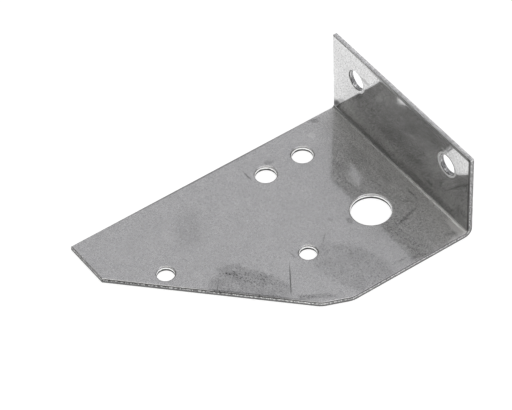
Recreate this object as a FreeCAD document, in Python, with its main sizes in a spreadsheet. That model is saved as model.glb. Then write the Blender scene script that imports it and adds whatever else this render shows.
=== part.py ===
import FreeCAD, Part
import math
import os

import Sketcher

# A flat blank of sheet steel, punched, trimmed to a slanted outline and folded once.
# The plate lies on its underside at Z = 0 and the flange stands up along its +Y edge.
# The origin is the middle of the footprint. The long straight side is at -X.

# Driving dimensions in millimetres. The flange's back is its outer face, at +Y.
SIZES = {
    # sheet and fold
    "sheet_thickness": 1.8,
    "fold_inner_radius": 1.3,
    "edge_roll_radius": 0.45,
    # outline, over the outside of the fold
    "plate_length": 120.0,
    "plate_width": 81.2,
    "flange_height": 38.7,
    "narrow_end_width": 20.0,
    "short_side_length": 59.8,
    "corner_cut": 6.3,
    "corner_blend_radius": 8.0,
    # large hole in the plate
    "large_hole_diameter": 15.0,
    "large_hole_from_long_side": 51.0,
    "large_hole_from_back": 22.8,
    # pair of bolt holes beside the long side
    "pair_hole_diameter": 8.0,
    "pair_from_long_side": 13.5,
    "pair_from_back": 26.2,
    "pair_spacing": 16.7,
    # two small holes, one in the middle and one by the narrow end, near the slanted side
    "small_hole_diameter": 6.5,
    "middle_hole_from_long_side": 54.2,
    "middle_hole_from_back": 53.5,
    "end_hole_from_slanted_side": 5.8,
    "end_hole_from_narrow_end": 19.7,
    # bolt holes in the flange
    "flange_hole_diameter": 8.2,
    "flange_hole_from_long_side": 14.1,
    "flange_hole_from_short_side": 13.1,
    "flange_hole_above_underside": 26.2,
}

# Places that several sketches share, measured from the middle of the footprint
LONG_SIDE_X = "-Sizes.plate_width / 2"
SHORT_SIDE_X = "Sizes.plate_width / 2"
NARROW_END_Y = "-Sizes.plate_length / 2"
BACK_Y = "Sizes.plate_length / 2"
NARROW_CORNER = (f"{LONG_SIDE_X} + Sizes.narrow_end_width", NARROW_END_Y)
SHORT_CORNER = (SHORT_SIDE_X, f"{BACK_Y} - Sizes.short_side_length")

# Holes, each as its place and its diameter
LARGE_HOLE = (
    (f"{LONG_SIDE_X} + Sizes.large_hole_from_long_side", f"{BACK_Y} - Sizes.large_hole_from_back"),
    "Sizes.large_hole_diameter",
)
MIDDLE_HOLE = (
    (f"{LONG_SIDE_X} + Sizes.middle_hole_from_long_side", f"{BACK_Y} - Sizes.middle_hole_from_back"),
    "Sizes.small_hole_diameter",
)
PAIR_X = f"{LONG_SIDE_X} + Sizes.pair_from_long_side"
PAIR_BACK_Y = f"{BACK_Y} - Sizes.pair_from_back"
BOLT_PAIR = (
    ((PAIR_X, PAIR_BACK_Y), "Sizes.pair_hole_diameter"),
    ((PAIR_X, f"{PAIR_BACK_Y} - Sizes.pair_spacing"), "Sizes.pair_hole_diameter"),
)
END_HOLE_Y = f"{NARROW_END_Y} + Sizes.end_hole_from_narrow_end"
FLANGE_HOLES = tuple(
    ((x_expression, "Sizes.flange_hole_above_underside"), "Sizes.flange_hole_diameter")
    for x_expression in (
        f"{LONG_SIDE_X} + Sizes.flange_hole_from_long_side",
        f"{SHORT_SIDE_X} - Sizes.flange_hole_from_short_side",
    )
)

ORIGIN_POINT = (-1, 1)
X_AXIS = -1
START, END, CENTRE = 1, 2, 3
TOLERANCE = 1e-4


def vector(x, y, z=0.0):
    return FreeCAD.Vector(x, y, z)


def make_sheet(doc):
    """Writes every driving dimension to a named cell."""
    sheet = doc.addObject("Spreadsheet::Sheet", "Sizes")
    for row, (alias, value) in enumerate(SIZES.items(), start=1):
        sheet.set(f"A{row}", alias.replace("_", " "))
        sheet.set(f"B{row}", str(value))
        sheet.setAlias(f"B{row}", alias)
    doc.recompute()


def evaluate(expression):
    """The present value of an expression of the sheet."""
    sheet = FreeCAD.ActiveDocument.getObject("Sizes")
    return float(sheet.evalExpression(expression))


def point_at(place):
    """The present point of a place given by two expressions."""
    return vector(*(evaluate(expression) for expression in place))


def new_sketch(body, name, plane_role):
    """An empty sketch on one of the body's own origin planes."""
    sketch = body.newObject("Sketcher::SketchObject", name)
    plane = next(item for item in body.Origin.OriginFeatures if item.Role == plane_role)
    sketch.AttachmentSupport = [(plane, "")]
    sketch.MapMode = "FlatFace"
    return sketch


def constrain(sketch, kind, *geometry):
    return sketch.addConstraint(Sketcher.Constraint(kind, *geometry))


def drive(sketch, kind, geometry, expression):
    """A dimension that follows the sheet."""
    index = constrain(sketch, kind, *geometry, evaluate(expression))
    sketch.setExpression(f"Constraints[{index}]", expression)


def drive_place(sketch, point, place):
    """Fixes a sketch point by its two coordinates."""
    for kind, expression in zip(("DistanceX", "DistanceY"), place):
        drive(sketch, kind, point, expression)


def add_section(body):
    """The folded section, seen along X, extruded over the width."""
    sketch = new_sketch(body, "FoldedSection", "YZ_Plane")
    thickness = evaluate("Sizes.sheet_thickness")
    inner = evaluate("Sizes.fold_inner_radius")
    outer = inner + thickness
    back = evaluate(BACK_Y)
    height = evaluate("Sizes.flange_height")
    fold_centre = vector(back - outer, outer)

    def line(start, end):
        return sketch.addGeometry(Part.LineSegment(vector(*start), vector(*end)), False)

    def fold_arc(radius):
        circle = Part.Circle(fold_centre, vector(0, 0, 1), radius)
        return sketch.addGeometry(Part.ArcOfCircle(circle, -math.pi / 2, 0.0), False)

    underside = line((-back, 0), (back - outer, 0))
    outer_fold = fold_arc(outer)
    flange_back = line((back, outer), (back, height))
    flange_top = line((back, height), (back - thickness, height))
    flange_front = line((back - thickness, height), (back - thickness, outer))
    inner_fold = fold_arc(inner)
    plate_top = line((back - outer, thickness), (-back, thickness))
    narrow_end = line((-back, thickness), (-back, 0))

    constrain(sketch, "Tangent", underside, END, outer_fold, START)
    constrain(sketch, "Tangent", outer_fold, END, flange_back, START)
    constrain(sketch, "Coincident", flange_back, END, flange_top, START)
    constrain(sketch, "Coincident", flange_top, END, flange_front, START)
    constrain(sketch, "Tangent", flange_front, END, inner_fold, END)
    constrain(sketch, "Tangent", inner_fold, START, plate_top, START)
    constrain(sketch, "Coincident", plate_top, END, narrow_end, START)
    constrain(sketch, "Coincident", narrow_end, END, underside, START)
    constrain(sketch, "Coincident", outer_fold, CENTRE, inner_fold, CENTRE)
    for level in (underside, flange_top, plate_top):
        constrain(sketch, "Horizontal", level)
    for upright in (flange_back, flange_front, narrow_end):
        constrain(sketch, "Vertical", upright)
    constrain(sketch, "PointOnObject", underside, START, X_AXIS)

    drive(sketch, "DistanceX", (underside, START, *ORIGIN_POINT), BACK_Y)
    drive(sketch, "DistanceX", (*ORIGIN_POINT, flange_back, END), BACK_Y)
    drive(sketch, "DistanceY", (*ORIGIN_POINT, flange_back, END), "Sizes.flange_height")
    drive(sketch, "DistanceY", (underside, START, plate_top, END), "Sizes.sheet_thickness")
    drive(sketch, "Radius", (inner_fold,), "Sizes.fold_inner_radius")

    pad = body.newObject("PartDesign::Pad", "FoldedSheet")
    pad.Profile = sketch
    pad.SideType = "Symmetric"
    pad.setExpression("Length", "Sizes.plate_width")


def add_slant_guide(sketch):
    """A construction line along the slanted side, from the narrow end to the short side."""
    ends = (point_at(NARROW_CORNER), point_at(SHORT_CORNER))
    guide = sketch.addGeometry(Part.LineSegment(*ends), True)
    drive_place(sketch, (guide, START), NARROW_CORNER)
    drive_place(sketch, (guide, END), SHORT_CORNER)
    return guide


def cut_slanted_side(body):
    """Cuts the plate along the slant. The cut runs one sheet thickness past both open sides."""
    sketch = new_sketch(body, "SlantedSide", "XY_Plane")
    guide = add_slant_guide(sketch)
    beyond_x = f"{SHORT_SIDE_X} + Sizes.sheet_thickness"
    beyond_y = f"{NARROW_END_Y} - Sizes.sheet_thickness"
    outside = point_at((beyond_x, beyond_y))
    narrow_corner = point_at(NARROW_CORNER)
    short_corner = point_at(SHORT_CORNER)
    slope = (short_corner.y - narrow_corner.y) / (short_corner.x - narrow_corner.x)
    low = vector(narrow_corner.x + (outside.y - narrow_corner.y) / slope, outside.y)
    high = vector(outside.x, short_corner.y + (outside.x - short_corner.x) * slope)

    slant = sketch.addGeometry(Part.LineSegment(low, high), False)
    right = sketch.addGeometry(Part.LineSegment(high, outside), False)
    bottom = sketch.addGeometry(Part.LineSegment(outside, low), False)
    constrain(sketch, "Coincident", slant, END, right, START)
    constrain(sketch, "Coincident", right, END, bottom, START)
    constrain(sketch, "Coincident", bottom, END, slant, START)
    constrain(sketch, "Vertical", right)
    constrain(sketch, "Horizontal", bottom)
    constrain(sketch, "PointOnObject", guide, START, slant)
    constrain(sketch, "PointOnObject", guide, END, slant)
    drive_place(sketch, (right, END), (beyond_x, beyond_y))
    add_cut(body, sketch, "SlantedSideCut")


def add_circle(sketch, centre, diameter_expression):
    """A round hole, still free to move."""
    radius = evaluate(diameter_expression) / 2
    hole = sketch.addGeometry(Part.Circle(centre, vector(0, 0, 1), radius), False)
    drive(sketch, "Diameter", (hole,), diameter_expression)
    return hole


def add_hole(sketch, place, diameter_expression):
    hole = add_circle(sketch, point_at(place), diameter_expression)
    drive_place(sketch, (hole, CENTRE), place)


def add_end_hole(sketch):
    """The small hole by the narrow end, placed from the slanted side."""
    guide = add_slant_guide(sketch)
    inside_slant = point_at((NARROW_CORNER[0], END_HOLE_Y))
    hole = add_circle(sketch, inside_slant, "Sizes.small_hole_diameter")
    drive(sketch, "DistanceY", (hole, CENTRE), END_HOLE_Y)
    drive(sketch, "Distance", (hole, CENTRE, guide), "Sizes.end_hole_from_slanted_side")


def punch_plate(body):
    sketch = new_sketch(body, "PlateHoles", "XY_Plane")
    for place, diameter in (LARGE_HOLE, MIDDLE_HOLE, *BOLT_PAIR):
        add_hole(sketch, place, diameter)
    add_end_hole(sketch)
    add_cut(body, sketch, "PlatePunched")


def punch_flange(body):
    sketch = new_sketch(body, "FlangeHoles", "XZ_Plane")
    for place, diameter in FLANGE_HOLES:
        add_hole(sketch, place, diameter)
    return add_cut(body, sketch, "FlangePunched")


def add_cut(body, sketch, name):
    """Cuts a sketch right through: up through the plate, or back through the flange."""
    before = body.Shape.Volume
    pocket = body.newObject("PartDesign::Pocket", name)
    pocket.Profile = sketch
    pocket.Type = "ThroughAll"
    pocket.Reversed = sketch.AttachmentSupport[0][0].Role == "XY_Plane"
    body.Document.recompute()
    if not body.Shape.Volume < before - TOLERANCE:
        raise RuntimeError(f"{name} removed nothing")
    return pocket


def upright_edge(shape, point):
    """Name of the plate's vertical edge that stands at one point of the outline."""
    for index, edge in enumerate(shape.Edges, start=1):
        ends = [vertex.Point for vertex in edge.Vertexes]
        if len(ends) == 2 and all(
            math.hypot(end.x - point.x, end.y - point.y) < TOLERANCE for end in ends
        ):
            return f"Edge{index}"
    raise RuntimeError(f"no upright edge at {point.x:.3f}, {point.y:.3f}")


def soften_corner(body, base):
    """Cuts the obtuse corner between the slant and the short side, and blends the cut into both."""
    corner = point_at(SHORT_CORNER)
    chamfer = body.newObject("PartDesign::Chamfer", "CornerCut")
    chamfer.Base = (base, [upright_edge(base.Shape, corner)])
    chamfer.setExpression("Size", "Sizes.corner_cut")
    body.Document.recompute()

    reach = evaluate("Sizes.corner_cut")
    along_slant = (point_at(NARROW_CORNER) - corner).normalize()
    cut_ends = (corner + along_slant * reach, corner + vector(0, reach))
    blend = body.newObject("PartDesign::Fillet", "CornerBlend")
    blend.Base = (chamfer, [upright_edge(chamfer.Shape, point) for point in cut_ends])
    blend.setExpression("Radius", "Sizes.corner_blend_radius")
    body.Document.recompute()
    return blend


def on_punch_side(face):
    """True for the plate's top, the inside of the fold and the flange's front."""
    surface = face.Surface
    if isinstance(surface, Part.Cylinder):
        along_fold = abs(surface.Axis.x) > 1 - TOLERANCE
        return along_fold and abs(surface.Radius - evaluate("Sizes.fold_inner_radius")) < TOLERANCE
    if not isinstance(surface, Part.Plane):
        return False
    point = face.CenterOfMass
    if abs(surface.Axis.z) > 1 - TOLERANCE:
        return abs(point.z - evaluate("Sizes.sheet_thickness")) < TOLERANCE
    front = evaluate(f"{BACK_Y} - Sizes.sheet_thickness")
    return abs(surface.Axis.y) > 1 - TOLERANCE and abs(point.y - front) < TOLERANCE


def roll_edges(body, base):
    """Rounds every sheared edge where the punch enters; the exit side stays sharp."""
    shape = base.Shape
    rolled = []
    for index, edge in enumerate(shape.Edges, start=1):
        faces = shape.ancestorsOfType(edge, Part.Face)
        if sum(on_punch_side(face) for face in faces) == 1:
            rolled.append(f"Edge{index}")
    roll = body.newObject("PartDesign::Fillet", "EdgeRoll")
    roll.Base = (base, rolled)
    roll.setExpression("Radius", "Sizes.edge_roll_radius")
    body.Document.recompute()


def make_bracket(doc):
    body = doc.addObject("PartDesign::Body", "Bracket")
    body.Label = "bracket"
    add_section(body)
    doc.recompute()
    cut_slanted_side(body)
    punch_plate(body)
    punched = punch_flange(body)
    softened = soften_corner(body, punched)
    roll_edges(body, softened)
    return body


def check_document(doc):
    for item in doc.Objects:
        if "Invalid" in item.State or "Error" in item.State:
            raise RuntimeError(f"{item.Name} failed: {item.State}")


def export(body):
    shape = body.Shape
    if shape.isNull() or not shape.isValid() or len(shape.Solids) != 1:
        raise RuntimeError(f"{body.Label} is not one valid solid")
    os.makedirs("parts", exist_ok=True)
    shape.exportStep(f"parts/{body.Label}.step")
    box = shape.optimalBoundingBox(True, False)
    print(f"{body.Label}: volume {shape.Volume:.1f} mm3, area {shape.Area:.1f} mm2")
    print(f"box {box.XMin:.3f} {box.YMin:.3f} {box.ZMin:.3f} to {box.XMax:.3f} {box.YMax:.3f} {box.ZMax:.3f}")


document = FreeCAD.newDocument("StampedBracket")
make_sheet(document)
bracket = make_bracket(document)
document.recompute()
check_document(document)
export(bracket)
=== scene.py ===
import math

import bpy
from mathutils import Matrix, Vector


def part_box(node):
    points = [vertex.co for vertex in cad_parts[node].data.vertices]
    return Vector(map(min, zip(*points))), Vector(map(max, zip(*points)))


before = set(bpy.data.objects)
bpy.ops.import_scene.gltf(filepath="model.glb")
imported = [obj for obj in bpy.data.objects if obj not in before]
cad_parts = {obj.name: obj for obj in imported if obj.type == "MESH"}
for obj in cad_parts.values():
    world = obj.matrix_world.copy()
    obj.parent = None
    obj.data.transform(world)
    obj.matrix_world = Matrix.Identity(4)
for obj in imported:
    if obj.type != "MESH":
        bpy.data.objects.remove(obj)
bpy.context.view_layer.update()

# Camera, fitted to the photograph. Angles in degrees, lengths in metres.
CAMERA_AZIMUTH = 55.841
CAMERA_ELEVATION = 46.588
CAMERA_ROLL = -2.192
CAMERA_DISTANCE = 1.1726
CAMERA_RIGHT = -0.005589
CAMERA_UP = 0.013277
CAMERA_CLIP_START = 0.05
CAMERA_CLIP_END = 50.0
LENS_MM = 228.22
SENSOR_MM = 36.0

# Floor, in metres. What the camera and reflections see of it has light added, up to white.
FLOOR_SIZE = 6.0
FLOOR_GAP = 0.0001
FLOOR_SHADE = 0.5
FLOOR_LIFT = 0.78

# A bright screen stands behind the flange, at +Y, and the room in front of the plate is dim.
SCREEN_LEVEL = 0.505
SCREEN_EDGES = (0.0, 0.34)
SCREEN_TINT = (0.995, 0.99, 1.03, 1.0)
ROOM_LEVEL = 0.185
ROOM_SLOPE = 0.06
ROOM_TINT = (1.015, 1.005, 0.975, 1.0)
# A wide soft ring lamp hangs overhead; its edges are given as the cosine from straight up.
LAMP_LEVEL = 2.05
LAMP_EDGES = (0.86, 0.95)
LAMP_OPENING = (0.992, 0.972)
LAMP_OPENING_LEVEL = 0.2

# Sheet, in millimetres as the material reads them
MM = 0.001
SHEET_THICKNESS = 1.8
FOLD_INNER_RADIUS = 1.3
FOLD_OUTER_RADIUS = FOLD_INNER_RADIUS + SHEET_THICKNESS

# Punched holes on the flat blank, in millimetres: x, distance along the blank, diameter
PLATE_HOLES = (
    (10.4, 37.2, 15.0),
    (-27.1, 33.8, 8.0),
    (-27.1, 17.1, 8.0),
    (13.6, 6.5, 6.5),
    (-8.84, -40.3, 6.5),
)
FLANGE_HOLES = (
    (-26.5, 82.6, 8.2),
    (27.5, 82.6, 8.2),
)
# Width of the ring of sheet that counts as a hole's rim
RIM_WIDTH = 0.9
# The punch dished a narrow ring round each hole of the plate: distances from the rim, and slope
DISH_INSIDE = (0.12, 0.22)
DISH_OUTSIDE = (0.66, 0.46)
DISH_SLOPE = 0.6
# A painted highlight ring round each hole of the flange
RING_INSIDE = 0.6
RING_OUTSIDE = 1.3
RING_SHINE = 1.8

# Marks on the punch side, placed in millimetres on the flat blank: x, distance along the
# blank, length, width, turn in degrees, and how much duller the mark is.
STAINS = (
    (15.0, -20.0, 33.0, 17.0, 43.0, 0.17),
    (8.0, -18.0, 25.0, 8.0, 34.0, 0.08),
    (4.0, -20.5, 11.0, 6.0, 60.0, 0.10),
    (29.5, 15.5, 37.0, 21.0, 20.0, 0.13),
)
# Soft shades in the same form
SHADES = (
    (26.0, 19.5, 16.0, 9.0, 15.0, 0.04),
    (-22.0, -21.5, 31.0, 17.0, -35.0, 0.10),
    (-14.0, 50.0, 22.0, 9.0, 0.0, 0.12),
    (-2.0, 52.0, 17.0, 6.0, -10.0, 0.06),
    (-13.5, 42.5, 10.0, 6.0, 0.0, 0.10),
)
# Painted shade on the flange, darkest in the corner at the fold's left end
FLANGE_SHADES = (
    (4.0, 62.0, 92.0, 36.0, 0.0, 0.25),
    (18.0, 77.0, 68.0, 52.0, 0.0, 0.12),
    (38.0, 72.0, 16.0, 34.0, 0.0, 0.14),
    (-21.5, 86.4, 9.0, 2.6, 0.0, 0.30),
    (-18.0, 75.0, 40.0, 24.0, 0.0, 0.12),
    (36.0, 64.0, 12.0, 11.0, 0.0, 0.15),
    (-39.0, 60.8, 9.5, 5.0, 40.0, 0.53),
    (-36.8, 63.6, 13.0, 3.0, 48.0, 0.34),
)
# Smudges, which a fine noise breaks up
SMUDGES = (
    (10.0, 27.8, 5.2, 3.0, -10.0, 0.40),
    (5.5, 22.6, 3.4, 1.6, 20.0, 0.25),
    (20.8, 46.0, 16.0, 1.8, -74.0, 0.55),
    (13.0, 54.0, 9.0, 1.0, -3.0, 0.50),
    (15.0, 50.4, 9.0, 0.9, 53.0, 0.50),
    (36.6, 30.5, 9.0, 1.3, 88.0, 0.34),
    (38.2, 36.0, 6.0, 1.3, 88.0, 0.32),
    (11.5, 15.0, 9.0, 1.0, -48.0, 0.32),
    (-30.5, 11.3, 7.0, 0.9, 0.0, 0.28),
    (-31.5, 21.4, 5.0, 3.4, 80.0, 0.34),
    (33.6, -1.6, 14.0, 3.0, 53.0, 0.36),
    (-38.8, 47.8, 5.5, 2.8, 53.0, 0.50),
    (30.4, -6.8, 8.0, 3.0, 47.0, 0.46),
    (37.4, 53.6, 8.0, 2.4, 70.0, 0.38),
)
# Scratches, then the dull bands along the slanted side and the long side
SCRATCHES = (
    (20.1, -6.2, 19.0, 0.6, -33.8, 0.65),
    (11.0, 1.3, 5.0, 0.5, 0.0, 0.40),
    (-30.3, 11.3, 6.5, 0.7, 0.0, 0.35),
    (-11.0, -31.0, 8.0, 0.4, 12.0, 0.20),
    (-3.0, 12.0, 14.0, 0.3, 72.0, 0.14),
    (-20.0, 3.0, 18.0, 0.3, -25.0, 0.12),
    (6.3, -28.0, 8.0, 0.5, -40.0, 0.25),
    (18.0, -21.3, 60.0, 1.6, 44.5, 0.32),
    (-40.5, 2.0, 118.0, 2.0, 90.0, 0.48),
)
# Light scuffs and specks, in the same form: the last number is how much brighter
SCUFFS = (
    (-33.2, 42.4, 5.0, 3.4, 15.0, 0.28),
    (-32.5, 39.5, 15.0, 9.0, 35.0, 0.10),
    (-10.5, 44.6, 9.0, 1.6, -15.0, 0.10),
    (-7.5, 42.4, 8.0, 1.2, -25.0, 0.07),
    (-38.5, 17.6, 4.0, 0.7, 0.0, 0.15),
    (-12.3, -1.8, 1.2, 0.5, 40.0, 0.8),
    (8.5, -3.3, 0.6, 0.5, 0.0, 0.7),
    (-14.0, -14.5, 0.7, 0.5, 0.0, 0.5),
    (-3.5, -24.0, 0.8, 0.5, 30.0, 0.5),
    (10.5, -24.5, 1.4, 0.5, 60.0, 0.4),
    (36.4, 56.3, 14.0, 4.5, -4.0, 1.2),
    (39.9, 53.0, 10.0, 1.8, 90.0, 0.4),
    (20.5, 78.5, 16.0, 19.0, 0.0, 0.27),
    (26.2, 88.6, 5.0, 3.0, 0.0, 0.8),
)
# Stains and scratches on the outer side, which the photograph doesn't show
OUTER_MARKS = (
    (-8.0, 79.0, 48.0, 15.0, 12.0, 0.09),
    (21.0, 91.0, 32.0, 9.0, -8.0, 0.08),
    (-27.0, 69.0, 24.0, 11.0, 30.0, 0.07),
    (31.0, 68.0, 14.0, 9.0, 70.0, 0.08),
    (5.0, 75.0, 27.0, 0.5, 17.0, 0.25),
    (-13.0, 91.0, 12.0, 0.5, -38.0, 0.25),
    (17.0, 70.0, 9.0, 0.6, 58.0, 0.22),
    (-34.0, 90.0, 7.0, 0.5, 75.0, 0.22),
    (0.0, 12.0, 62.0, 26.0, 50.0, 0.09),
    (-20.0, -32.0, 30.0, 17.0, -30.0, 0.08),
    (12.0, 28.0, 24.0, 0.5, 24.0, 0.25),
    (-15.0, 4.0, 32.0, 0.5, -62.0, 0.22),
)

# Regions of the sheet: where each one isn't yet and where it is in full, in millimetres of
# depth below the punch side, or of X, Y or Z
PUNCH_SIDE_DEPTH = (1.1, 0.7)
BROKEN_DEPTH = (0.85, 1.05)
FLANGE_Z = (1.9, 3.5)
TOWARD_FOLD_Y = (35.0, 50.0)
BESIDE_FOLD_Y = (46.0, 57.0)
BESIDE_FOLD_Z = (2.6, 2.0)
# Where the painted glints and shine in the crease lie
CREASE_Y = (57.2, 57.8)
CREASE_Z = (2.9, 2.3)
# Painted shade in the fold: the wider band's lower and upper heights, then the dark line where the
# fold starts
FOLD_SHADE_LOWER_Z = (2.1, 2.7)
FOLD_SHADE_UPPER_Z = (8.0, 5.0)
FOLD_LINE_SHADE_Y = (56.9, 57.1)
FLANGE_TOP_Z = (37.2, 38.0)
FLANGE_END_X = (39.4, 40.2)
RIGHT_END_X = (39.0, 39.6)
FLANGE_TOP_WALL_Z = (37.6, 38.4)
BOWED_PLATE_Y = (18.0, 30.0)

# Parts of an edge, by how squarely they face out of the sheet: 1 on its sides, 0 on a wall
SHOULDER_FACING = (0.99, 0.85)
POLISHED_FACING = (0.995, 0.92)
WALL_FACING = (0.35, 0.12)
HOLE_WALL_FACING = (0.9, 0.6)

# Changes along the part: the two places in millimetres, then the value at each. The values
# for the start and end of the dark line of painted shade in the fold are heights.
# Painted shade in the fold and its dark line, along the part
FOLD_SHADE_BY_X = (-14.0, 4.0, 0.5, 1.0)
FOLD_LINE_SHADE_END_BY_X = (-12.0, 4.0, 5.0, 2.25)
FOLD_LINE_SHADE_START_BY_X = (-12.0, 4.0, 4.0, 1.98)
FOLD_LINE_SHADE_BY_X = (-12.0, 14.0, 0.95, 0.45)
# Painted glints and shine in the crease, along the part
GLINTS_BY_X = (-6.0, 6.0, 0.1, 0.8)
CREASE_SHINE_BY_X = (-10.0, 36.0, 0.05, 1.1)
# Painted light beside the fold, growing to the right
BESIDE_FOLD_BY_X = (5.0, 30.0, 0.08, 0.15)
HAZE_BY_X = (-30.0, 34.0, 0.035, 0.08)
SHOULDER_BY_Y = (-59.6, -59.0, 0.1, 1.0)
FLANGE_EDGE_BY_X = (-30.0, 0.0, 0.2, -0.3)
# The walls' burnished band, darker to the left: its own tone, partly painted shade
WALL_BY_X = (-25.0, 35.0, 0.29, 0.5)
FLANGE_WALL_BY_Z = (2.0, 26.0, 0.37, 0.43)
FLANGE_WALL_BY_X = (-20.0, -5.0, 0.97, 0.88)
WALL_BY_Y = (-59.9, -59.0, 0.85, 1.0)
PLATE_BOW_BY_Z = (2.2, 1.9, 0.0, 0.031)
FLANGE_BOW_BY_Z = (6.6, 3.2, 0.0, 0.13)
FLANGE_TIP_BY_Z = (31.0, 37.5, 0.0, -0.009)

# Noises turned into marks: two values of the noise, then the strength at each if it isn't
# 0 and 1
MOTTLED = (0.38, 0.62, 0.65, 1.28)
SPECKED = (0.60, 0.72, 0.0, 1.8)
SMUDGED = (0.35, 0.6)
PITTED = (0.57, 0.67, 0.0, 0.5)
OUTER_CLOUDS = (0.42, 0.64, 0.0, 0.13)
# The painted glints in the crease
GLINTING = (0.48, 0.62, 0.1, 1.0)
MATT_SPOTS = (0.475, 0.525)
FLECKED = (0.4, 0.62, -0.3, 0.25)

# Tones, from 0 for black to 1 for white, and changes of tone
FACE_TONE = 0.665
CLOUD_SPREAD = 0.06
GRAIN_SPREAD = 0.16
SPECKLE_SPREAD = 0.28
PITS_ON_PLATE = 0.2
# How much the painted shade in the fold darkens the tone
FOLD_SHADE_CHANGE = -0.27
LIGHT_CHANGE = 0.3
SHOULDER_DULLING = 0.62
RIGHT_END_CHANGE = -0.7
POLISHED_TONE = 0.97
HOLE_WALL_TONE = 0.9
FLANGE_HOLE_WALL_TONE = 0.5
FLANGE_TOP_TONE = 0.85
FLANGE_FLECKS = 0.6
# The band that broke away: its own dark tone with painted shade, darkest in the holes
TORN_AND_SHADED_TONE = 0.2
TORN_AND_SHADED_HOLE_TONE = 0.08

# Changes of the share of matt spots, which is the haze over the mirror
STREAK_HAZE = 0.07
GRAIN_HAZE = 0.15
FLANGE_GRAIN_HAZE = 0.8
FLANGE_HAZE = -0.26
BESIDE_FOLD_HAZE = 0.35
LIGHT_HAZE = 0.3

# Roughness
MIRROR_ROUGHNESS = 0.09
FLANGE_ROUGHNESS_CHANGE = -0.01
MATT_ROUGHNESS = 0.6
SHOULDER_ROUGHNESS = 0.35
FLANGE_EDGE_ROUGHNESS = 0.45
POLISHED_ROUGHNESS = 0.2
BURNISHED_ROUGHNESS = 0.22
TORN_ROUGHNESS = 0.55
BUMP_STRENGTH = 0.1
BUMP_HEIGHT = 0.00002

# The ragged outlines of stains stray by this many millimetres for a full step of the noise,
# and those of other marks by a share of it
TORN_REACH = 5.0
BENT_SHARE = 0.25
# How far the line between a wall's two bands strays, in millimetres
BREAK_WOBBLE = 0.3
# Scale of the streaks that rolling left: about four times longer along the fold than across
ROLLED_STRETCH = (0.12, 0.5, 1.0)
# How far the normal leans on the polished roll of a rim
POLISHED_LEAN = -0.85


def make_camera():
    azimuth, elevation, roll = (
        math.radians(angle) for angle in (CAMERA_AZIMUTH, CAMERA_ELEVATION, CAMERA_ROLL)
    )
    back = Vector((
        math.sin(azimuth) * math.cos(elevation),
        -math.cos(azimuth) * math.cos(elevation),
        math.sin(elevation),
    ))
    level_right = Vector((math.cos(azimuth), math.sin(azimuth), 0.0))
    level_up = back.cross(level_right)
    right = level_right * math.cos(roll) + level_up * math.sin(roll)
    up = level_up * math.cos(roll) - level_right * math.sin(roll)
    camera = bpy.data.objects.new("camera", bpy.data.cameras.new("camera"))
    bpy.context.scene.collection.objects.link(camera)
    camera.data.sensor_width = SENSOR_MM
    camera.data.lens = LENS_MM
    camera.data.clip_start = CAMERA_CLIP_START
    camera.data.clip_end = CAMERA_CLIP_END
    camera.matrix_world = Matrix((right, up, back)).transposed().to_4x4()
    camera.location = back * CAMERA_DISTANCE + right * CAMERA_RIGHT + up * CAMERA_UP
    bpy.context.scene.camera = camera


class Graph:
    """Short calls for making and linking the nodes of one tree."""

    def __init__(self, tree):
        self.tree = tree
        tree.nodes.clear()

    def node(self, kind, inputs=(), **settings):
        made = self.tree.nodes.new("ShaderNode" + kind)
        for name, value in settings.items():
            setattr(made, name, value)
        for name, value in dict(inputs).items():
            self.feed(made.inputs[name], value)
        return made

    def feed(self, socket, value):
        if isinstance(value, bpy.types.NodeSocket):
            self.tree.links.new(value, socket)
        else:
            socket.default_value = value

    def math(self, operation, *values, clamp=False):
        made = self.node("Math", operation=operation, use_clamp=clamp)
        for socket, value in zip(made.inputs, values):
            self.feed(socket, value)
        return made.outputs[0]

    def vector(self, operation, *values):
        made = self.node("VectorMath", operation=operation)
        for socket, value in zip(made.inputs, values):
            self.feed(socket, value)
        return made.outputs["Value" if operation in ("DOT_PRODUCT", "LENGTH") else "Vector"]

    def scaled(self, vector, scale):
        made = self.node("VectorMath", {0: vector, "Scale": scale}, operation="SCALE")
        return made.outputs["Vector"]

    def add(self, a, b):
        return self.math("ADD", a, b)

    def subtract(self, a, b):
        return self.math("SUBTRACT", a, b)

    def times(self, *values):
        """The product of all values, multiplied in the order they are given."""
        product = values[0]
        for value in values[1:]:
            product = self.math("MULTIPLY", product, value)
        return product

    def without(self, value):
        """What is left of 1 after the value."""
        return self.math("SUBTRACT", 1.0, value)

    def ramp(self, value, low, high, to_low=0.0, to_high=1.0):
        """Smoothly from to_low where value is low to to_high where it is high."""
        made = self.node("MapRange", interpolation_type="SMOOTHSTEP")
        names = ("Value", "From Min", "From Max", "To Min", "To Max")
        for name, given in zip(names, (value, low, high, to_low, to_high)):
            self.feed(made.inputs[name], given)
        return made.outputs["Result"]

    def noise(self, place, scale, detail=2.0, roughness=0.5, output="Fac"):
        made = self.node("TexNoise", {
            "Vector": place,
            "Scale": scale,
            "Detail": detail,
            "Roughness": roughness,
        })
        return made.outputs[output]

    def centred(self, value, amplitude):
        """A noise turned into a change of up to about plus or minus amplitude."""
        return self.times(self.subtract(value, 0.5), 2.0 * amplitude)

    def mix(self, share, a, b):
        made = self.node("Mix", {"Factor": share}, data_type="FLOAT")
        self.feed(made.inputs[2], a)
        self.feed(made.inputs[3], b)
        return made.outputs[0]

    def marks(self, place, rows, soft):
        """The summed strength of oval marks, each given as x, y, length, width, turn, strength."""
        total = 0.0
        for x, y, length, width, turn, strength in rows:
            local = self.node("Mapping", {
                "Vector": place,
                "Location": (x, y, 0.0),
                "Rotation": (0.0, 0.0, math.radians(turn)),
                "Scale": (length / 2, width / 2, 1.0),
            }, vector_type="TEXTURE")
            shape = self.ramp(self.vector("LENGTH", local.outputs[0]), 1.0, 1.0 - soft)
            total = self.math("MULTIPLY_ADD", shape, strength, total)
        return total


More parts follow.
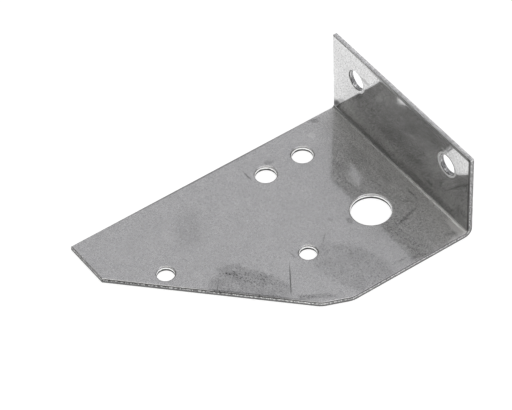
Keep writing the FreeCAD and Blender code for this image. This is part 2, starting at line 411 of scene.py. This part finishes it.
def make_world():
    world = bpy.data.worlds.new("studio")
    bpy.context.scene.world = world
    world.use_nodes = True
    graph = Graph(world.node_tree)
    direction = graph.node("TexCoord").outputs["Generated"]
    toward = graph.node("SeparateXYZ", {"Vector": direction}).outputs
    screen = graph.ramp(toward["Y"], *SCREEN_EDGES)
    toward_front = graph.math("MINIMUM", toward["Y"], 0.0)
    room = graph.math("MULTIPLY_ADD", toward_front, ROOM_SLOPE, ROOM_LEVEL)
    lamp = graph.times(graph.ramp(toward["Z"], *LAMP_EDGES), LAMP_LEVEL)
    opening = graph.ramp(toward["Z"], *LAMP_OPENING, LAMP_OPENING_LEVEL, 1.0)
    level = graph.add(graph.mix(screen, room, SCREEN_LEVEL), graph.times(lamp, opening))
    tint = graph.node("Mix", {"Factor": screen}, data_type="RGBA")
    graph.feed(tint.inputs[6], ROOM_TINT)
    graph.feed(tint.inputs[7], SCREEN_TINT)
    background = graph.node("Background", {"Color": tint.outputs[2], "Strength": level})
    output = graph.node("OutputWorld")
    graph.feed(output.inputs["Surface"], background.outputs[0])


def make_floor():
    half = FLOOR_SIZE / 2
    corners = [
        (-half, -half, -FLOOR_GAP),
        (half, -half, -FLOOR_GAP),
        (half, half, -FLOOR_GAP),
        (-half, half, -FLOOR_GAP),
    ]
    mesh = bpy.data.meshes.new("floor")
    mesh.from_pydata(corners, [], [(0, 1, 2, 3)])
    floor = bpy.data.objects.new("floor", mesh)
    bpy.context.scene.collection.objects.link(floor)
    material = bpy.data.materials.new("white_floor")
    material.use_nodes = True
    mesh.materials.append(material)
    graph = Graph(material.node_tree)
    shaded = graph.node("BsdfDiffuse", {"Color": (FLOOR_SHADE, FLOOR_SHADE, FLOOR_SHADE, 1.0)})
    lift = graph.node("Emission", {"Color": (1.0, 1.0, 1.0, 1.0), "Strength": FLOOR_LIFT})
    rays = graph.node("LightPath").outputs
    seen = graph.math("ADD", rays["Is Camera Ray"], rays["Is Glossy Ray"], clamp=True)
    seen = graph.math("ADD", seen, rays["Is Transmission Ray"], clamp=True)
    nothing = graph.node("Emission", {"Strength": 0.0})
    lifted = graph.node("MixShader", {"Fac": seen})
    graph.feed(lifted.inputs[1], nothing.outputs[0])
    graph.feed(lifted.inputs[2], lift.outputs[0])
    both = graph.node("AddShader")
    graph.feed(both.inputs[0], shaded.outputs[0])
    graph.feed(both.inputs[1], lifted.outputs[0])
    output = graph.node("OutputMaterial")
    graph.feed(output.inputs["Surface"], both.outputs[0])


def discs(holes, margin, strength=1.0):
    """Round marks over punched holes, each wider than its hole by the margin all round."""
    return [
        (x, y, diameter + 2 * margin, diameter + 2 * margin, 0.0, strength)
        for x, y, diameter in holes
    ]


class Sheet:
    """Values that say where on the folded sheet a point lies, and what is there."""

    def __init__(self, graph, fold_centre_y):
        self.place = graph.scaled(graph.node("TexCoord").outputs["Object"], 1.0 / MM)
        self.normal = graph.node("NewGeometry").outputs["Normal"]
        at = graph.node("SeparateXYZ", {"Vector": self.place}).outputs
        self.x = at["X"]
        self.y = at["Y"]
        self.z = at["Z"]
        self.find_depth(graph, fold_centre_y)
        self.unfold(graph)
        self.punch_side = graph.ramp(self.depth, *PUNCH_SIDE_DEPTH)
        self.flange = graph.ramp(self.z, *FLANGE_Z)
        nearing = graph.ramp(self.y, *TOWARD_FOLD_Y)
        self.toward_fold = graph.times(nearing, graph.without(self.flange))
        self.beside_fold = graph.times(
            graph.ramp(self.y, *BESIDE_FOLD_Y), graph.ramp(self.z, *BESIDE_FOLD_Z)
        )
        self.rim = graph.marks(self.blank, discs(PLATE_HOLES + FLANGE_HOLES, RIM_WIDTH), soft=0.05)
        rim_of_plate = graph.times(self.rim, graph.without(self.flange))
        self.polished = graph.times(graph.ramp(self.facing, *POLISHED_FACING), rim_of_plate)
        starts, full = (
            graph.mix(self.rim, wall, hole) for wall, hole in zip(WALL_FACING, HOLE_WALL_FACING)
        )
        self.cut = graph.ramp(self.facing, starts, full)

    def find_depth(self, graph, fold_centre_y):
        """The way through the sheet: down in the plate, back in the flange, outward in the fold."""
        past_fold = graph.math("MAXIMUM", graph.subtract(self.y, fold_centre_y), 0.0)
        below_fold = graph.math("MAXIMUM", graph.subtract(FOLD_OUTER_RADIUS, self.z), 0.0)
        down = graph.times(below_fold, -1.0)
        through = graph.node("CombineXYZ", {"Y": past_fold, "Z": down}).outputs["Vector"]
        self.depth = graph.subtract(graph.vector("LENGTH", through), FOLD_INNER_RADIUS)
        squarely = graph.vector("DOT_PRODUCT", graph.vector("NORMALIZE", through), self.normal)
        self.facing = graph.math("ABSOLUTE", squarely)

    def unfold(self, graph):
        """The place on the flat blank, for marks that were there before the fold."""
        risen = graph.math("MAXIMUM", graph.subtract(self.z, SHEET_THICKNESS), 0.0)
        along = graph.add(self.y, risen)
        self.blank = graph.node("CombineXYZ", {"X": self.x, "Y": along}).outputs["Vector"]
        ragged = graph.noise(self.blank, scale=0.55, detail=4.0, roughness=0.65, output="Color")
        ragged = graph.vector("SUBTRACT", ragged, (0.5, 0.5, 0.5))
        ragged = graph.vector("MULTIPLY", ragged, (TORN_REACH, TORN_REACH, 0.0))
        self.torn = graph.vector("ADD", self.blank, ragged)
        slightly = graph.vector("MULTIPLY", ragged, (BENT_SHARE, BENT_SHARE, 0.0))
        self.bent = graph.vector("ADD", self.blank, slightly)


def find_dullness(graph, sheet, clouds):
    """How much stains, smudges, scratches and pits darken the metal."""
    stained = graph.add(
        graph.marks(sheet.torn, STAINS, soft=0.2), graph.marks(sheet.bent, SHADES, soft=0.85)
    )
    mottling = graph.noise(sheet.blank, scale=0.4, detail=4.0, roughness=0.7)
    mottled = graph.ramp(mottling, *MOTTLED)
    specks = graph.ramp(graph.noise(sheet.blank, scale=1.6, detail=0.0), *SPECKED)
    dull = graph.times(stained, graph.add(mottled, specks))
    streaky = graph.noise(sheet.blank, scale=1.6, detail=3.0, roughness=0.7)
    streaky = graph.ramp(streaky, *SMUDGED)
    dull = graph.add(dull, graph.times(graph.marks(sheet.bent, SMUDGES, soft=0.6), streaky))
    dull = graph.add(dull, graph.marks(sheet.blank, SCRATCHES, soft=0.6))
    pits = graph.ramp(graph.noise(sheet.blank, scale=1.9), *PITTED)
    dull = graph.add(dull, graph.times(pits, graph.mix(sheet.flange, PITS_ON_PLATE, 1.0)))
    outer = graph.times(graph.marks(sheet.bent, OUTER_MARKS, soft=0.5), mottled)
    outer = graph.add(outer, graph.ramp(clouds, *OUTER_CLOUDS))
    return graph.mix(sheet.punch_side, outer, dull)


def find_light(graph, sheet):
    """How much scuffs, the painted highlight rings round the flange holes and the painted glints
    and shine in the crease brighten the metal.
    """
    light = graph.marks(sheet.bent, SCUFFS, soft=0.7)
    # Painted highlight rings round the flange holes
    for margin, strength in ((RING_OUTSIDE, 1.0), (RING_INSIDE, -1.0)):
        ring = graph.marks(sheet.blank, discs(FLANGE_HOLES, margin, strength), soft=0.06)
        light = graph.add(light, graph.times(ring, RING_SHINE))
    light = graph.times(light, sheet.punch_side)
    # Painted highlights in the crease: glints, and a shine that grows to the right
    crease = graph.times(graph.ramp(sheet.y, *CREASE_Y), graph.ramp(sheet.z, *CREASE_Z))
    glints = graph.ramp(graph.noise(sheet.place, scale=1.1), *GLINTING)
    glints = graph.times(glints, graph.ramp(sheet.x, *GLINTS_BY_X))
    glints = graph.add(glints, graph.ramp(sheet.x, *CREASE_SHINE_BY_X))
    return graph.add(light, graph.times(crease, glints, sheet.punch_side))


def find_fold_shade(graph, sheet):
    """Painted shade in the fold: a dark line where the fold starts and a wider painted shade above.
    """
    fold_shade = graph.times(graph.ramp(sheet.z, *FOLD_SHADE_LOWER_Z), graph.ramp(sheet.z, *FOLD_SHADE_UPPER_Z))
    fold_line_shade_end = graph.ramp(sheet.x, *FOLD_LINE_SHADE_END_BY_X)
    fold_line_shade_start = graph.ramp(sheet.x, *FOLD_LINE_SHADE_START_BY_X)
    fold_line_shade = graph.times(graph.ramp(sheet.y, *FOLD_LINE_SHADE_Y), graph.ramp(sheet.z, fold_line_shade_end, fold_line_shade_start))
    fold_line_shade = graph.times(fold_line_shade, graph.ramp(sheet.x, *FOLD_LINE_SHADE_BY_X))
    fold_shade = graph.times(fold_shade, graph.ramp(sheet.x, *FOLD_SHADE_BY_X))
    return graph.times(graph.add(fold_line_shade, fold_shade), sheet.punch_side)


def find_face_tone(graph, sheet, grain, clouds, light):
    tone = graph.add(FACE_TONE, graph.centred(clouds, CLOUD_SPREAD))
    tone = graph.add(tone, graph.centred(grain, GRAIN_SPREAD))
    speckle = graph.centred(graph.noise(sheet.place, scale=2.6, detail=1.0), SPECKLE_SPREAD)
    speckled = graph.math("MAXIMUM", sheet.flange, sheet.toward_fold)
    tone = graph.add(tone, graph.times(speckle, speckled))
    tone = graph.times(tone, graph.without(find_dullness(graph, sheet, clouds)))
    front = graph.times(sheet.flange, sheet.punch_side)
    # Painted shade on the flange
    flange_shaded = graph.times(graph.marks(sheet.bent, FLANGE_SHADES, soft=0.6), front)
    tone = graph.times(tone, graph.without(flange_shaded))
    # Painted shade in the fold darkens the tone
    fold_shade = find_fold_shade(graph, sheet)
    tone = graph.times(tone, graph.math("MULTIPLY_ADD", fold_shade, FOLD_SHADE_CHANGE, 1.0))
    # Painted light: the plate beside the fold is lifted, more to the right
    brighter = graph.ramp(sheet.x, *BESIDE_FOLD_BY_X)
    tone = graph.add(tone, graph.times(sheet.beside_fold, sheet.punch_side, brighter))
    return graph.add(tone, graph.times(light, LIGHT_CHANGE))


def find_face_roughness(graph, sheet, grain, light):
    """Two kinds of spot too small to see: near mirror, and matt, which gives the metal its haze."""
    rolled = graph.node("Mapping", {"Vector": sheet.blank, "Scale": ROLLED_STRETCH})
    streaks = graph.noise(rolled.outputs[0], scale=1.0, detail=4.0, roughness=0.6)
    grainy = graph.mix(sheet.flange, 1.0, FLANGE_GRAIN_HAZE)
    haze = graph.add(
        graph.centred(streaks, STREAK_HAZE),
        graph.times(graph.centred(grain, GRAIN_HAZE), grainy),
    )
    haze = graph.add(haze, graph.times(sheet.flange, FLANGE_HAZE))
    haze = graph.add(haze, graph.times(sheet.toward_fold, graph.ramp(sheet.x, *HAZE_BY_X)))
    bright = graph.add(light, graph.times(sheet.beside_fold, BESIDE_FOLD_HAZE))
    haze = graph.add(haze, graph.times(bright, LIGHT_HAZE))
    spots = graph.noise(sheet.place, scale=14.0, detail=1.0)
    matt = graph.ramp(graph.add(spots, haze), *MATT_SPOTS)
    shiny = graph.add(MIRROR_ROUGHNESS, graph.times(sheet.flange, FLANGE_ROUGHNESS_CHANGE))
    return graph.mix(matt, shiny, MATT_ROUGHNESS)


def roll_edges(graph, sheet, tone, rough):
    """The rolled shoulder of a sheared edge, the flange's top edge and ends (lighter at the left,
    darker to the right), and polished rims.
    """
    shoulder = graph.times(graph.ramp(sheet.facing, *SHOULDER_FACING), graph.without(sheet.rim))
    shoulder = graph.times(shoulder, graph.ramp(sheet.y, *SHOULDER_BY_Y))
    dulling = graph.times(shoulder, graph.mix(sheet.flange, SHOULDER_DULLING, 0.0))
    tone = graph.times(tone, graph.without(dulling))
    rough = graph.mix(shoulder, rough, SHOULDER_ROUGHNESS)

    # The flange's top edge and ends: lighter at the left, darker to the right and darkest at the
    # right end
    ends = graph.ramp(graph.math("ABSOLUTE", sheet.x), *FLANGE_END_X)
    flange_edge_band = graph.math("MAXIMUM", graph.ramp(sheet.z, *FLANGE_TOP_Z), ends)
    flange_edge_band = graph.times(flange_edge_band, graph.times(sheet.flange, sheet.punch_side))
    flange_edge_change = graph.ramp(sheet.x, *FLANGE_EDGE_BY_X)
    flange_edge_change = graph.mix(graph.ramp(sheet.x, *RIGHT_END_X), flange_edge_change, RIGHT_END_CHANGE)
    tone = graph.times(tone, graph.math("MULTIPLY_ADD", flange_edge_band, flange_edge_change, 1.0))
    rough = graph.mix(flange_edge_band, rough, FLANGE_EDGE_ROUGHNESS)

    tone = graph.mix(sheet.polished, tone, POLISHED_TONE)
    rough = graph.mix(sheet.polished, rough, POLISHED_ROUGHNESS)
    return tone, rough


def cut_walls(graph, sheet, tone, rough):
    """A sheared wall: a burnished band, then the dark band that broke away, darkened in part by
    painted shade.
    """
    wobble = graph.centred(graph.noise(sheet.place, scale=0.9), BREAK_WOBBLE)
    broken = graph.ramp(graph.add(sheet.depth, wobble), *BROKEN_DEPTH)
    flecks = graph.ramp(graph.noise(sheet.place, scale=1.9), *FLECKED)
    wall = graph.add(graph.ramp(sheet.x, *WALL_BY_X), flecks)
    burnished = graph.mix(sheet.rim, wall, HOLE_WALL_TONE)

    end_wall = graph.ramp(sheet.z, *FLANGE_WALL_BY_Z)
    end_wall = graph.mix(sheet.rim, end_wall, FLANGE_HOLE_WALL_TONE)
    on_flange = graph.ramp(sheet.z, *FLANGE_TOP_WALL_Z, end_wall, FLANGE_TOP_TONE)
    on_flange = graph.times(on_flange, graph.ramp(sheet.x, *FLANGE_WALL_BY_X))
    on_flange = graph.math("MULTIPLY_ADD", flecks, FLANGE_FLECKS, on_flange)
    burnished = graph.mix(sheet.flange, burnished, on_flange)
    burnished = graph.times(burnished, graph.ramp(sheet.y, *WALL_BY_Y))

    # The broken band: the cut's own dark tone, with painted shade that is darkest in the holes
    torn_and_shaded = graph.mix(sheet.rim, TORN_AND_SHADED_TONE, TORN_AND_SHADED_HOLE_TONE)
    torn_and_shaded = graph.mix(sheet.flange, torn_and_shaded, on_flange)
    cut_tone = graph.mix(broken, burnished, torn_and_shaded)
    cut_rough = graph.mix(broken, BURNISHED_ROUGHNESS, TORN_ROUGHNESS)
    return graph.mix(sheet.cut, tone, cut_tone), graph.mix(sheet.cut, rough, cut_rough)


def lean_normal(graph, sheet):
    """The sheet isn't quite flat: it bows beside the fold and is dished round the holes."""
    bowed = graph.ramp(sheet.y, *BOWED_PLATE_Y)
    plate_lean = graph.times(bowed, graph.ramp(sheet.z, *PLATE_BOW_BY_Z))
    flange_lean = graph.ramp(sheet.z, *FLANGE_BOW_BY_Z)
    flange_lean = graph.add(flange_lean, graph.ramp(sheet.z, *FLANGE_TIP_BY_Z))
    rolled_over = graph.times(sheet.polished, sheet.facing, POLISHED_LEAN)
    flange_lean = graph.add(flange_lean, rolled_over)
    lean = graph.node("CombineXYZ", {"Y": plate_lean, "Z": flange_lean}).outputs["Vector"]
    for x, y, diameter in PLATE_HOLES:
        inward = graph.vector("SUBTRACT", (x, y, 0.0), sheet.blank)
        past_rim = graph.subtract(graph.vector("LENGTH", inward), diameter / 2)
        dished = graph.times(
            graph.ramp(past_rim, *DISH_INSIDE), graph.ramp(past_rim, *DISH_OUTSIDE), DISH_SLOPE
        )
        slope = graph.scaled(graph.vector("NORMALIZE", inward), dished)
        lean = graph.vector("ADD", lean, slope)
    facing_punch = graph.times(sheet.punch_side, graph.without(sheet.cut))
    lean = graph.scaled(lean, facing_punch)
    return graph.vector("NORMALIZE", graph.vector("ADD", sheet.normal, lean))


def make_steel(fold_centre_y):
    material = bpy.data.materials.new("rolled_steel")
    material.use_nodes = True
    graph = Graph(material.node_tree)
    sheet = Sheet(graph, fold_centre_y)
    grain = graph.noise(sheet.place, scale=1.9, detail=2.0, roughness=0.7)
    clouds = graph.noise(sheet.blank, scale=0.11, detail=5.0, roughness=0.6)
    light = find_light(graph, sheet)
    tone = find_face_tone(graph, sheet, grain, clouds, light)
    rough = find_face_roughness(graph, sheet, grain, light)
    tone, rough = roll_edges(graph, sheet, tone, rough)
    tone, rough = cut_walls(graph, sheet, tone, rough)
    colour = graph.node("CombineColor", {"Red": tone, "Green": tone, "Blue": tone}).outputs[0]
    bump = graph.node("Bump", {
        "Height": grain,
        "Strength": BUMP_STRENGTH,
        "Distance": BUMP_HEIGHT,
        "Normal": lean_normal(graph, sheet),
    })
    shader = graph.node("BsdfPrincipled", {
        "Base Color": colour,
        "Metallic": 1.0,
        "Roughness": rough,
        "Normal": bump.outputs[0],
    })
    output = graph.node("OutputMaterial")
    graph.feed(output.inputs["Surface"], shader.outputs[0])
    return material


def dress_bracket():
    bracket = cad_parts["bracket"]
    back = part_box("bracket")[1].y / MM
    bracket.material_slots[0].material = make_steel(back - FOLD_OUTER_RADIUS)


make_camera()
make_world()
make_floor()
dress_bracket()
bpy.context.scene.view_settings.view_transform = "Standard"
